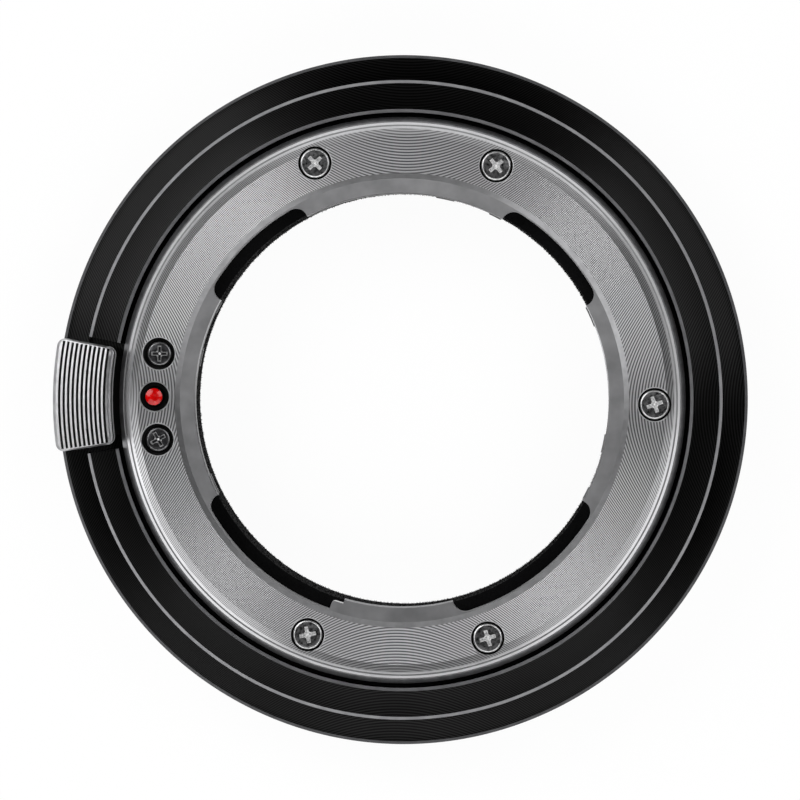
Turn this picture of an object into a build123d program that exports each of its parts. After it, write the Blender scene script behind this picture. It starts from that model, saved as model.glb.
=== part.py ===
from build123d import *
import os
from math import degrees, hypot, radians, sin

# Lens mount adapter. It carries a lens with a four-lug 44 mm bayonet on a mirrorless camera.
# The origin is on the optical axis in the plane of the camera seat, and +Z points to the lens.
# The release grip and the lock pin are on the -X side. All sizes are in millimetres and degrees.

# Heights
FLANGE_HEIGHT = 7.8       # lens seat above the camera seat: a 27.8 register less one of 20.0
LENS_PLATE_T = 2.4        # lens flange, from its seat down to the boss that carries it
TAB_DROP = 0.4            # the tabs' faces lie this far below the lens seat
LUG_ROOM = 2.2            # height left for the lens lugs between the boss top and the liner's lip
TIER_PROUD = 1.05         # inner edge of the upper tier above the boss that carries the flange
UPPER_TIER_FALL = 0.95    # the upper tier falls this much towards its outer edge
TIER_STEP = 1.3           # step from the upper tier down to the outer one
OUTER_TIER_FALL = 0.9     # the outer tier falls this much towards the rim
GROOVE_DEPTH = 1.6        # groove round the boss, below the boss's top
REAR_RIM_GAP = 0.15       # the black rim stays this far off the camera
REAR_PLATE_T = 1.2        # rear bayonet plate
SPIGOT_LENGTH = 5.4       # rear spigot, from the camera seat to its end

# Lens side, as widths from the throat outwards
THROAT_R = 20.4           # inner radius of the tabs
TAB_WIDTH = 1.4           # the gaps between tabs are cut this deep, to the bayonet circle
STEP_LAND = 0.1           # thin land at the tabs' level round the gaps
STEP_WIDTH = 0.5          # slope between the tabs' level and the lens seat
FACE_WIDTH = 3.66         # flat lens seat
MARGIN_WIDTH = 0.75       # slope outside the seat
MARGIN_DROP = 0.55        # fall of that slope
EDGE_BEVEL = 0.25         # the two bevels at the flange's stepped outer edge
EDGE_LEDGE = 0.15         # ledge between them
BOSS_STEP = 0.55          # boss radius beyond the flange
BOSS_RIM = 0.95           # thin rim of the boss that stands round the flange
RIM_FIT = 0.04            # flange's room inside it
BOSS_BEVEL = 0.4          # bevel outside that rim
BOSS_BEVEL_DROP = 0.25    # its fall
GROOVE_WIDTH = 0.45       # groove round the boss
CUT_EDGE = 0.3            # bright cut bevels at the edges of the upper tier
UPPER_TIER_WIDTH = 2.62   # upper tier between its bevels
OUTER_TIER_WIDTH = 2.6    # outer tier, out to the rim
TIER_CROWN = 0.05         # the outer tier bulges this much above a straight slope
RIM_EDGE = 0.3            # cut bevel at the rim's front edge
RIM_BEVEL = 0.2           # bevel at the rim's rear edge

# Bayonet on the lens side
WIDE_TAB_ANGLE = 56.2     # three wide tabs, at 0, 90 and 180 degrees
NARROW_TAB_ANGLE = 30.3   # one narrow tab, at 270 degrees
GAP_CORNER_R = 1.2        # cutter radius in the corners of the gaps
STOP_ANGLE = 3.1          # rotation stop at one end of the narrow tab
STOP_WIDTH = 0.95         # radial size of the stop
STOP_CORNER_R = 0.35      # its rounded corner
LUG_CLEARANCE = 0.4       # channel behind the tabs, beyond the gap circle

# Leaf springs
LEAF_T = 0.25             # spring strip
LEAF_BOW = 0.35           # how far the middle is bent down
LEAF_BEND_START = 6.5     # half-length between the outer bends
LEAF_BEND_END = 3.5       # half-length between the inner bends
LEAF_SETBACK = 0.35       # strip's inner edge behind the tab's edge
LEAF_PAD = 0.1            # pads past the tab's edge
LEAF_EAR = 1.2            # ears clamped between flange and boss
LEAF_EAR_SPAN = 7.0       # their length round the ring, in degrees
LEAF_FIRST_PAD = 3.6      # the pads' lengths round the ring, in degrees
LEAF_MIDDLE_PAD = 5.2
LEAF_LAST_PAD = 5.8
LEAF_MIDDLE_AT = -11.2    # place of the middle pad from the strip's centre, in degrees
LEAF_END_MARGIN = 0.4     # degrees from the tab's end to the strip's end

# Fasteners
FLANGE_SCREW_INSET = 2.51 # screw circle outside the seat's inner edge
FLANGE_SCREW_ANGLES = (0.0, 69.0, 111.0, 249.0, 290.8)
FLANGE_SCREW_TURNS = (20.0, 40.0, 45.0, 12.0, 18.0)
SCREW_HEAD_R = 1.45       # bright flange screws
SCREW_HEAD_H = 0.8
SCREW_SHANK_R = 0.8
SCREW_SINK = 0.12         # head top below the lens seat
SCREW_GRIP = 2.0          # length of thread in the body
HEAD_ROOM = 0.2           # counterbore beyond a head
HEAD_BEVEL = 0.18         # bevel round a head
SHANK_ROOM = 0.1          # clearance hole beyond a shank
THREAD_ROOM = 0.02        # tapped hole beyond a shank
TIP_ROOM = 0.2            # blind hole beyond a screw's tip
RECESS_SPAN = 1.7         # cross recess
RECESS_ARM = 0.46
RECESS_DEPTH = 0.45
RECESS_TAPER = 12.0
GUIDE_ANGLE = 10.0        # guide screws either side of the pin
GUIDE_HEAD_R = 1.22
GUIDE_HEAD_H = 0.6
GUIDE_SHANK_R = 0.6
GUIDE_SINK = 0.75         # these heads lie deeper
GUIDE_HEAD_ROOM = 0.36
GUIDE_TURNS = (0.0, 30.0)
REAR_SCREW_INSET = 1.5    # screw circle inside the plate's edge
REAR_SCREW_COUNT = 6
REAR_SCREW_START = 30.0   # clear of the lock's pocket
REAR_HEAD_R = 1.25        # countersunk heads
REAR_HEAD_H = 0.6
REAR_SHANK_R = 0.7
REAR_SCREW_GRIP = 2.0
REAR_SINK = 0.05          # heads below the camera seat
GRIP_SCREW_OFFSET = 2.3   # grip screws either side of the middle
GRIP_HEAD_R = 0.95
GRIP_HEAD_H = 0.45
GRIP_SHANK_R = 0.5
GRIP_SCREW_GRIP = 0.65    # length of thread in the grip

# Lock pin, arm and grip
LOCK_ANGLE = 180.0        # side of the ring that carries the lock
LOCK_TRAVEL = 1.3         # how far the lock slides towards the camera
TRAVEL_ROOM = 0.3         # pocket depth left under the arm at the end of the travel
POCKET_WALL = 0.6         # wall between the lens channel and the lock's pocket
ARM_FIT = 0.15            # arm's room in its pocket
ARM_NOSE = 1.45           # arm ahead of the pin's centre
ARM_BACK = 1.6            # arm's wings behind the pin's centre
ARM_EAR = 0.7             # arm beyond its guide holes
ARM_T = 1.1
ARM_GAP = 0.1             # arm below the flange at rest
STEM_HALF = 3.9           # half-width of the arm's stem
STEM_REACH = 1.75         # stem under the grip
SLEEVE_WALL = 0.3         # guide sleeves
RUNNING_FIT = 0.05        # sliding clearance, on the radius
PRESS_GAP = 0.01          # pressed and cemented fits, on the radius
PIN_R = 0.92
PIN_RIVET_R = 0.7         # pin's riveted foot in the arm
PIN_PROUD = 0.8           # pin above the lens seat
PIN_EDGE = 0.08           # rim left round the enamel
ENAMEL_DEPTH = 0.15       # enamel cup
ENAMEL_DOME = 0.18        # enamel above the pin
BUSH_WALL = 0.51
BUSH_SINK = 0.05          # bush below the lens seat
SPRING_WIRE = 0.3
SPRING_R = 0.95           # mean radius
SPRING_TURNS = 4.0
SPRING_ROOM = 0.25        # hole beyond the spring
SPRING_END_GAP = 0.02
GRIP_HALF_ANGLE = 9.5
GRIP_GAP = 1.24           # grip outside the flange
GRIP_OVERHANG = 0.33      # grip past the rim
GRIP_DROP = 0.5           # grip's inner top edge below the lens seat
GRIP_FALL = 1.1           # grip's top falls this much towards the rim
GRIP_ROOM = 0.2           # room left under the grip at the end of the travel
GRIP_CORNER_R = 0.7
GRIP_BEVEL = 0.2
NOTCH_GAP = 0.6           # notch in the upper tier, each side of the grip
RIB_COUNT = 11
RIB_PITCH = 0.452         # along the radius
RIB_START = 0.73          # first groove from the grip's inner end
RIB_GROOVE = 0.22         # groove width at the top
RIB_DEPTH = 0.25
RIB_BORDER = 0.35         # plain border along the grip's sides

# Throat liner
LINER_SETBACK = 0.35      # liner's bore beyond the tabs' inner radius
LINER_T = 0.5
LINER_FIT = 0.03
LINER_END = 0.1           # liner stops short of the spigot's end

# Camera side
SPIGOT_WALL = 2.7
SPIGOT_BEVEL = 0.4
REAR_LUG_WIDTH = 1.75
REAR_LUG_SEAT = 1.7       # lugs' bearing face behind the camera seat
REAR_LUG_T = 1.5
REAR_LUG_ANGLE = 40.0
REAR_LUG_COUNT = 4
REAR_LUG_START = 45.0     # middle of the first lug
REAR_LUG_CORNER_R = 0.5
RELIEF_WIDTH = 0.35       # relief round the spigot's root, beyond the lugs
RELIEF_DEPTH = 0.2
CAMERA_SEAT_WIDTH = 4.92  # flat camera seat outside the relief
PLATE_FIT = 0.05          # plate's room in the body's recess
CAMERA_PIN_R = 1.3        # hole for the camera's own lock pin
CAMERA_PIN_INSET = 2.4    # its centre inside the plate's edge
CAMERA_PIN_ANGLE = 240.0
BEAD_R = 0.5              # red alignment bead in the rim
BEAD_DEPTH = 0.5
BEAD_ANGLE = 90.0

# Radii that follow
GAP_R = THROAT_R + TAB_WIDTH
STEP_IN_R = GAP_R + STEP_LAND
FACE_IN_R = STEP_IN_R + STEP_WIDTH
FACE_OUT_R = FACE_IN_R + FACE_WIDTH
MARGIN_R = FACE_OUT_R + MARGIN_WIDTH
LEDGE_IN_R = MARGIN_R + EDGE_BEVEL
LEDGE_OUT_R = LEDGE_IN_R + EDGE_LEDGE
FLANGE_R = LEDGE_OUT_R + EDGE_BEVEL
BOSS_R = FLANGE_R + BOSS_STEP
GROOVE_R = BOSS_R + GROOVE_WIDTH
TIER_IN_R = GROOVE_R + CUT_EDGE
TIER_OUT_R = TIER_IN_R + UPPER_TIER_WIDTH
STEP_R = TIER_OUT_R + CUT_EDGE
BODY_R = STEP_R + OUTER_TIER_WIDTH
CHANNEL_R = GAP_R + LUG_CLEARANCE
POCKET_R = CHANNEL_R + POCKET_WALL
PIN_CIRCLE_R = POCKET_R + ARM_FIT + ARM_NOSE
SCREW_CIRCLE_R = FACE_IN_R + FLANGE_SCREW_INSET
LEAF_IN_R = THROAT_R + LEAF_SETBACK
EAR_R = CHANNEL_R + LEAF_EAR
LINER_BORE_R = THROAT_R + LINER_SETBACK
LINER_R = LINER_BORE_R + LINER_T
BORE_R = LINER_R + LINER_FIT
SPIGOT_R = BORE_R + SPIGOT_WALL
REAR_LUG_R = SPIGOT_R + REAR_LUG_WIDTH
RELIEF_R = REAR_LUG_R + RELIEF_WIDTH
REAR_PLATE_R = RELIEF_R + CAMERA_SEAT_WIDTH
REAR_SCREW_CIRCLE_R = REAR_PLATE_R - REAR_SCREW_INSET
SLEEVE_BORE_R = GUIDE_SHANK_R + RUNNING_FIT
SLEEVE_R = SLEEVE_BORE_R + SLEEVE_WALL
ARM_HOLE_R = SLEEVE_R + RUNNING_FIT
BUSH_BORE_R = PIN_R + RUNNING_FIT
BUSH_R = BUSH_BORE_R + BUSH_WALL
SPRING_HOLE_R = SPRING_R + SPRING_WIRE / 2 + SPRING_ROOM
GRIP_IN_R = FLANGE_R + GRIP_GAP
GRIP_OUT_R = BODY_R + GRIP_OVERHANG
STEM_END_R = GRIP_IN_R + STEM_REACH

# Heights that follow
BOSS_Z = FLANGE_HEIGHT - LENS_PLATE_T
TAB_Z = FLANGE_HEIGHT - TAB_DROP
TAB_BACK_Z = BOSS_Z + LEAF_T
LIP_Z = BOSS_Z - LUG_ROOM
SHELF_Z = LIP_Z - LINER_T
TIER_IN_Z = BOSS_Z + TIER_PROUD
TIER_OUT_Z = TIER_IN_Z - UPPER_TIER_FALL
STEP_Z = TIER_OUT_Z - TIER_STEP
RIM_HEIGHT = STEP_Z - OUTER_TIER_FALL
GROOVE_Z = BOSS_Z - GROOVE_DEPTH
MARGIN_Z = FLANGE_HEIGHT - MARGIN_DROP
LEDGE_Z = MARGIN_Z - EDGE_BEVEL
FLANGE_EDGE_Z = LEDGE_Z - EDGE_BEVEL
ARM_TOP_Z = BOSS_Z - ARM_GAP
ARM_Z = ARM_TOP_Z - ARM_T
POCKET_Z = ARM_Z - LOCK_TRAVEL - TRAVEL_ROOM
NOTCH_Z = ARM_TOP_Z - LOCK_TRAVEL - TRAVEL_ROOM
SPIGOT_END_Z = -SPIGOT_LENGTH
PIN_TOP_Z = FLANGE_HEIGHT + PIN_PROUD
GRIP_TOP_IN_Z = FLANGE_HEIGHT - GRIP_DROP
GRIP_TOP_OUT_Z = GRIP_TOP_IN_Z - GRIP_FALL
GRIP_UNDER_Z = STEP_Z + TIER_CROWN + LOCK_TRAVEL + GRIP_ROOM
SCREW_TOP_Z = FLANGE_HEIGHT - SCREW_SINK
SCREW_SEAT_Z = SCREW_TOP_Z - SCREW_HEAD_H
SCREW_TIP_Z = BOSS_Z - SCREW_GRIP
GUIDE_TOP_Z = FLANGE_HEIGHT - GUIDE_SINK
GUIDE_SEAT_Z = GUIDE_TOP_Z - GUIDE_HEAD_H
GUIDE_TIP_Z = REAR_PLATE_T + TIP_ROOM
REAR_TIP_Z = REAR_PLATE_T + REAR_SCREW_GRIP
GRIP_TIP_Z = ARM_TOP_Z + GRIP_SCREW_GRIP

# The outer tier keeps its slope under the grip's overhang
TIER_SLOPE = OUTER_TIER_FALL / (OUTER_TIER_WIDTH - RIM_EDGE)
GRIP_UNDER_OUT_Z = GRIP_UNDER_Z - TIER_SLOPE * (GRIP_OUT_R - STEP_R)

# Places round the ring
CUT = 1.0                 # how far a cutting solid runs past what it cuts
LOCK_SIDE = Rot(0, 0, LOCK_ANGLE)
GUIDE_PLACES = [
    LOCK_SIDE * Rot(0, 0, angle) * Pos(PIN_CIRCLE_R, 0, 0) for angle in (-GUIDE_ANGLE, GUIDE_ANGLE)
]
PIN_PLACE = LOCK_SIDE * Pos(PIN_CIRCLE_R, 0, 0)
FLANGE_SCREW_PLACES = [Rot(0, 0, angle) * Pos(SCREW_CIRCLE_R, 0, 0) for angle in FLANGE_SCREW_ANGLES]
REAR_SCREW_PLACES = [
    Rot(0, 0, REAR_SCREW_START + 360.0 / REAR_SCREW_COUNT * i) * Pos(REAR_SCREW_CIRCLE_R, 0, 0)
    for i in range(REAR_SCREW_COUNT)
]
GRIP_SCREW_PLACES = [
    LOCK_SIDE * Pos(GRIP_IN_R + STEM_REACH / 2, side * GRIP_SCREW_OFFSET, 0) for side in (-1, 1)
]


def turned(*corners):
    """Solid turned about Z from (radius, height) corners."""
    return revolve(Plane.XZ * make_face(Polyline(*corners, close=True)), Axis.Z)


def rod(radius, low, high):
    """Upright cylinder between two heights."""
    return Pos(0, 0, low) * Cylinder(radius, high - low, align=(Align.CENTER, Align.CENTER, Align.MIN))


def tube(bore, radius, low, high):
    """Upright tube between two heights."""
    return turned((bore, low), (radius, low), (radius, high), (bore, high))


def slab(face, low, high):
    """Flat shape raised between two heights."""
    return Pos(0, 0, low) * extrude(face, high - low, dir=(0, 0, 1))


def sector(r_in, r_out, start, end):
    """Flat piece of a ring between two angles."""
    outer = CenterArc((0, 0), r_out, start, end - start)
    inner = CenterArc((0, 0), r_in, start, end - start)
    return make_face([outer, inner, Line(inner @ 0, outer @ 0), Line(inner @ 1, outer @ 1)])


def rounded_at(face, radius_from_axis, corner_r):
    """Round the corners of a flat shape that lie at one distance from the axis."""
    corners = [v for v in face.vertices() if abs(hypot(v.X, v.Y) - radius_from_axis) < 1e-4]
    return fillet(corners, corner_r)


def block(x_low, x_high, half_width, low, high):
    """Box along the lock's own radius, the same width each side of the middle."""
    plan = Pos((x_low + x_high) / 2, 0) * Rectangle(x_high - x_low, 2 * half_width)
    return slab(plan, low, high)


def cross_recess(top, turn):
    """Cutter for a cross recess, narrowing downwards."""
    plan = Rectangle(RECESS_SPAN, RECESS_ARM) + Rectangle(RECESS_ARM, RECESS_SPAN)
    cutter = extrude(plan, RECESS_DEPTH, dir=(0, 0, -1), taper=RECESS_TAPER)
    return Pos(0, 0, top) * Rot(0, 0, turn) * cutter


def cheese_screw(head_r, shank_r, top, seat, tip, turn):
    """Screw with a bevelled flat head, pointing down."""
    shape = turned(
        (0, tip),
        (shank_r, tip),
        (shank_r, seat),
        (head_r, seat),
        (head_r, top - HEAD_BEVEL),
        (head_r - HEAD_BEVEL, top),
        (0, top),
    )
    return shape - cross_recess(top, turn)


def countersunk_screw(head_r, head_h, shank_r, face, tip):
    """Countersunk screw pointing up, its flat head at the height of the face below."""
    return turned((0, face), (head_r, face), (shank_r, face + head_h), (shank_r, tip), (0, tip))


def countersink(head_r, head_h, shank_r, face, room):
    """Hole for such a screw through the piece under its head, open below."""
    wide = head_r + room
    narrow = shank_r + room
    through = face + head_h + max(REAR_PLATE_T, ARM_T)
    return turned(
        (0, face - CUT),
        (wide, face - CUT),
        (wide, face),
        (narrow, face + head_h),
        (narrow, through),
        (0, through),
    )


def tab_gaps():
    """Plan of the four gaps between the tabs, one of them with the rotation stop left in."""
    wide = WIDE_TAB_ANGLE / 2
    narrow = NARROW_TAB_ANGLE / 2
    spans = [
        (wide, 90 - wide),
        (90 + wide, 180 - wide),
        (180 + wide, 270 - narrow),
        (270 + narrow, 360 - wide),
    ]
    gaps = [rounded_at(sector(THROAT_R - CUT, GAP_R, a, b), GAP_R, GAP_CORNER_R) for a, b in spans]
    stop_end = 270 - narrow
    stop = sector(GAP_R - STOP_WIDTH, GAP_R + CUT, stop_end - STOP_ANGLE, stop_end + STOP_ANGLE)
    gaps[2] -= rounded_at(stop, GAP_R - STOP_WIDTH, STOP_CORNER_R)
    return gaps


def lens_flange():
    """Bayonet plate: a turned ring with a stepped edge, cut into four tabs, with its screw holes."""
    ring = turned(
        (EAR_R + ARM_FIT, BOSS_Z),
        (FLANGE_R, BOSS_Z),
        (FLANGE_R, FLANGE_EDGE_Z),
        (LEDGE_OUT_R, LEDGE_Z),
        (LEDGE_IN_R, LEDGE_Z),
        (MARGIN_R, MARGIN_Z),
        (FACE_OUT_R, FLANGE_HEIGHT),
        (FACE_IN_R, FLANGE_HEIGHT),
        (STEP_IN_R, TAB_Z),
        (THROAT_R, TAB_Z),
        (THROAT_R, TAB_BACK_Z),
        (EAR_R + ARM_FIT, TAB_BACK_Z),
    )
    for gap in tab_gaps():
        ring -= slab(gap, BOSS_Z - CUT, FLANGE_HEIGHT + CUT)
    for place in FLANGE_SCREW_PLACES:
        ring -= place * rod(SCREW_HEAD_R + HEAD_ROOM, SCREW_SEAT_Z, FLANGE_HEIGHT + CUT)
        ring -= place * rod(SCREW_SHANK_R + SHANK_ROOM, BOSS_Z - CUT, SCREW_SEAT_Z)
    for place in GUIDE_PLACES:
        ring -= place * rod(GUIDE_HEAD_R + GUIDE_HEAD_ROOM, GUIDE_SEAT_Z, FLANGE_HEIGHT + CUT)
        ring -= place * rod(SLEEVE_BORE_R, BOSS_Z - CUT, GUIDE_SEAT_Z)
    ring -= PIN_PLACE * rod(BUSH_R + PRESS_GAP, BOSS_Z - CUT, FLANGE_HEIGHT + CUT)
    return ring


def lock_pocket():
    """Space in the body for the arm, its guide sleeves and the spring. The stem passes under the boss's rim."""
    wing_half = arm_wing_half() + ARM_FIT
    wings = block(POCKET_R, PIN_CIRCLE_R + ARM_BACK + ARM_FIT, wing_half, POCKET_Z, BOSS_Z + CUT)
    slot = block(PIN_CIRCLE_R, STEM_END_R + ARM_FIT, STEM_HALF + ARM_FIT, POCKET_Z, BOSS_Z)
    notch_half = GRIP_HALF_ANGLE + degrees(NOTCH_GAP / STEP_R)
    notch = slab(sector(BOSS_R, STEP_R, -notch_half, notch_half), NOTCH_Z, TIER_IN_Z + CUT)
    spring_hole = Pos(PIN_CIRCLE_R, 0, 0) * rod(SPRING_HOLE_R, REAR_PLATE_T - CUT, POCKET_Z + CUT)
    return LOCK_SIDE * (wings + slot + notch + spring_hole)


def body():
    """Turned black ring with the lock's pocket and the blind screw holes."""
    recess_r = REAR_PLATE_R + PLATE_FIT
    rim_edge_r = BODY_R - RIM_EDGE
    crown = ThreePointArc(
        (STEP_R, STEP_Z),
        ((STEP_R + rim_edge_r) / 2, (STEP_Z + RIM_HEIGHT) / 2 + TIER_CROWN),
        (rim_edge_r, RIM_HEIGHT),
    )
    outline = Polyline(
        (rim_edge_r, RIM_HEIGHT),
        (BODY_R, RIM_HEIGHT - RIM_EDGE),
        (BODY_R, REAR_RIM_GAP + RIM_BEVEL),
        (BODY_R - RIM_BEVEL, REAR_RIM_GAP),
        (recess_r, REAR_RIM_GAP),
        (recess_r, REAR_PLATE_T),
        (BORE_R, REAR_PLATE_T),
        (BORE_R, SHELF_Z),
        (CHANNEL_R, SHELF_Z),
        (CHANNEL_R, BOSS_Z),
        (FLANGE_R + RIM_FIT, BOSS_Z),
        (FLANGE_R + RIM_FIT, BOSS_Z + BOSS_RIM),
        (BOSS_R - BOSS_BEVEL, BOSS_Z + BOSS_RIM),
        (BOSS_R, BOSS_Z + BOSS_RIM - BOSS_BEVEL_DROP),
        (BOSS_R, GROOVE_Z),
        (GROOVE_R, GROOVE_Z),
        (GROOVE_R, TIER_IN_Z - CUT_EDGE),
        (TIER_IN_R, TIER_IN_Z),
        (TIER_OUT_R, TIER_OUT_Z),
        (STEP_R, TIER_OUT_Z - CUT_EDGE),
        (STEP_R, STEP_Z),
    )
    ring = revolve(Plane.XZ * make_face([*outline.edges(), crown]), Axis.Z)
    ring -= lock_pocket()
    for place in FLANGE_SCREW_PLACES:
        ring -= place * rod(SCREW_SHANK_R + THREAD_ROOM, SCREW_TIP_Z - TIP_ROOM, BOSS_Z + CUT)
    for place in GUIDE_PLACES:
        ring -= place * rod(GUIDE_SHANK_R + THREAD_ROOM, GUIDE_TIP_Z - THREAD_ROOM, POCKET_Z + CUT)
    for place in REAR_SCREW_PLACES:
        ring -= place * rod(REAR_SHANK_R + THREAD_ROOM, REAR_PLATE_T - CUT, REAR_TIP_Z + TIP_ROOM)
    ring -= bead_place() * rod(BEAD_R + PRESS_GAP, -BEAD_DEPTH, CUT)
    return ring


def bead_place():
    """Where the alignment bead sits: on the rim, pointing outwards."""
    middle = (RIM_HEIGHT - RIM_EDGE + REAR_RIM_GAP + RIM_BEVEL) / 2
    return Rot(0, 0, BEAD_ANGLE) * Pos(BODY_R, 0, middle) * Rot(0, 90, 0)


def index_bead():
    """Small red bead, trimmed flush with the rim."""
    bead = bead_place() * rod(BEAD_R, -BEAD_DEPTH, CUT)
    return bead & rod(BODY_R, -CUT, FLANGE_HEIGHT)


def leaf_spring(angle):
    """Spring strip behind a wide tab: three pads past the tab's edge, two clamped ears, a bent middle."""
    half = WIDE_TAB_ANGLE / 2 - LEAF_END_MARGIN
    pad_spans = [
        (-half, -half + LEAF_FIRST_PAD),
        (LEAF_MIDDLE_AT - LEAF_MIDDLE_PAD / 2, LEAF_MIDDLE_AT + LEAF_MIDDLE_PAD / 2),
        (half - LEAF_LAST_PAD, half),
    ]
    ear_spans = [(-half, -half + LEAF_EAR_SPAN), (half - LEAF_EAR_SPAN, half)]
    plan = sector(LEAF_IN_R, GAP_R, -half, half)
    for start, end in pad_spans:
        plan += sector(THROAT_R - LEAF_PAD, GAP_R, start, end)
    for start, end in ear_spans:
        plan += sector(LEAF_IN_R, EAR_R, start, end)
    upper = [
        (-EAR_R, TAB_BACK_Z),
        (-LEAF_BEND_START, TAB_BACK_Z),
        (-LEAF_BEND_END, TAB_BACK_Z - LEAF_BOW),
        (LEAF_BEND_END, TAB_BACK_Z - LEAF_BOW),
        (LEAF_BEND_START, TAB_BACK_Z),
        (EAR_R, TAB_BACK_Z),
    ]
    lower = [(y, z - LEAF_T) for y, z in reversed(upper)]
    section = Plane.YZ * make_face(Polyline(*upper, *lower, close=True))
    strip = extrude(section, EAR_R + CUT, dir=(1, 0, 0))
    return Rot(0, 0, angle) * (strip & slab(plan, BOSS_Z - LEAF_BOW - CUT, TAB_BACK_Z + CUT))


def arm_wing_half():
    """Half-width of the arm across its guide holes."""
    return PIN_CIRCLE_R * sin(radians(GUIDE_ANGLE)) + ARM_HOLE_R + ARM_EAR


def release_arm():
    """T-shaped plate under the flange: wings on the guide sleeves, a stem out to the grip."""
    wings = block(PIN_CIRCLE_R - ARM_NOSE, PIN_CIRCLE_R + ARM_BACK, arm_wing_half(), ARM_Z, ARM_TOP_Z)
    stem = block(PIN_CIRCLE_R, STEM_END_R, STEM_HALF, ARM_Z, ARM_TOP_Z)
    stem &= rod(STEM_END_R, ARM_Z, ARM_TOP_Z)
    arm = LOCK_SIDE * (wings + stem)
    for place in GUIDE_PLACES:
        arm -= place * rod(ARM_HOLE_R, ARM_Z - CUT, ARM_TOP_Z + CUT)
    arm -= PIN_PLACE * rod(PIN_RIVET_R + PRESS_GAP, ARM_Z - CUT, ARM_TOP_Z + CUT)
    for place in GRIP_SCREW_PLACES:
        arm -= place * countersink(GRIP_HEAD_R, GRIP_HEAD_H, GRIP_SHANK_R, ARM_Z, THREAD_ROOM)
    return arm


def rib_grooves():
    """Cutter for the grip's grooves, set square to its sloping top and closed at both sides."""
    length = hypot(GRIP_OUT_R - GRIP_IN_R, GRIP_FALL)
    along = ((GRIP_OUT_R - GRIP_IN_R) / length, -GRIP_FALL / length)
    up = (-along[1], along[0])

    def point(radius, side, height):
        z = GRIP_TOP_IN_Z - (radius - GRIP_IN_R) * GRIP_FALL / (GRIP_OUT_R - GRIP_IN_R)
        return radius + side * along[0] + height * up[0], z + side * along[1] + height * up[1]

    half = RIB_GROOVE / 2
    sweep_angle = 2 * (GRIP_HALF_ANGLE - degrees(RIB_BORDER / GRIP_IN_R))
    cutter = []
    for i in range(RIB_COUNT):
        radius = GRIP_IN_R + RIB_START + i * RIB_PITCH
        corners = [
            point(radius, -half, RIB_DEPTH),
            point(radius, -half, 0),
            point(radius, -half / 2, -RIB_DEPTH),
            point(radius, half / 2, -RIB_DEPTH),
            point(radius, half, 0),
            point(radius, half, RIB_DEPTH),
        ]
        groove = revolve(Plane.XZ * make_face(Polyline(*corners, close=True)), Axis.Z, sweep_angle)
        cutter.append(Rot(0, 0, -sweep_angle / 2) * groove)
    return cutter


def release_grip():
    """Plated thumb grip: a sloping block over the outer tier, hollowed below for the arm's stem."""
    stem_room = STEM_END_R + ARM_FIT
    wedge = turned(
        (GRIP_IN_R, ARM_TOP_Z),
        (GRIP_IN_R, GRIP_TOP_IN_Z),
        (GRIP_OUT_R, GRIP_TOP_OUT_Z),
        (GRIP_OUT_R, GRIP_UNDER_OUT_Z),
        (STEP_R, GRIP_UNDER_Z),
        (stem_room, GRIP_UNDER_Z),
        (stem_room, ARM_TOP_Z),
    )
    plan = sector(GRIP_IN_R, GRIP_OUT_R, -GRIP_HALF_ANGLE, GRIP_HALF_ANGLE)
    plan = fillet(plan.vertices(), GRIP_CORNER_R)
    grip = wedge & slab(plan, REAR_RIM_GAP, FLANGE_HEIGHT)
    top = max(grip.faces().filter_by(GeomType.CONE), key=lambda face: face.center().Z)
    grip = chamfer(top.edges(), GRIP_BEVEL)
    for groove in rib_grooves():
        grip -= groove
    grip = LOCK_SIDE * grip
    for place in GRIP_SCREW_PLACES:
        grip -= place * rod(GRIP_SHANK_R + THREAD_ROOM, ARM_TOP_Z - CUT, GRIP_TIP_Z + THREAD_ROOM)
    return grip


def lens_lock_pin():
    """Stepped pin riveted into the arm, with a cup for the enamel in its top."""
    cup_r = PIN_R - PIN_EDGE
    pin = turned(
        (0, ARM_Z),
        (PIN_RIVET_R, ARM_Z),
        (PIN_RIVET_R, ARM_TOP_Z),
        (PIN_R, ARM_TOP_Z),
        (PIN_R, PIN_TOP_Z - PIN_EDGE / 2),
        (PIN_R - PIN_EDGE / 2, PIN_TOP_Z),
        (cup_r, PIN_TOP_Z),
        (cup_r, PIN_TOP_Z - ENAMEL_DEPTH),
        (0, PIN_TOP_Z - ENAMEL_DEPTH),
    )
    return PIN_PLACE * pin


def pin_index_enamel():
    """Domed drop of enamel that fills the pin's cup."""
    radius = PIN_R - PIN_EDGE - PRESS_GAP
    ball_r = (radius**2 + ENAMEL_DOME**2) / (2 * ENAMEL_DOME)
    ball_z = PIN_TOP_Z + ENAMEL_DOME - ball_r
    floor_z = PIN_TOP_Z - ENAMEL_DEPTH
    drop = Pos(0, 0, ball_z) * Sphere(ball_r)
    return PIN_PLACE * (drop & rod(radius, floor_z, PIN_TOP_Z + ENAMEL_DOME + CUT))


def lock_spring():
    """Coil spring between the rear plate and the arm."""
    low = REAR_PLATE_T + SPRING_WIRE / 2 + SPRING_END_GAP
    height = ARM_Z - SPRING_WIRE / 2 - SPRING_END_GAP - low
    path = Helix(height / SPRING_TURNS, height, SPRING_R)
    wire = Plane(origin=path @ 0, z_dir=path % 0) * Circle(SPRING_WIRE / 2)
    return PIN_PLACE * Pos(0, 0, low) * sweep(wire, path, is_frenet=True)


def flocked_liner():
    """Thin flocked tube with a lip on the body's shelf."""
    end = SPIGOT_END_Z + LINER_END
    return turned(
        (LINER_BORE_R, end),
        (LINER_R, end),
        (LINER_R, SHELF_Z),
        (CHANNEL_R - LINER_FIT, SHELF_Z),
        (CHANNEL_R - LINER_FIT, LIP_Z),
        (LINER_BORE_R, LIP_Z),
    )


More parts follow.
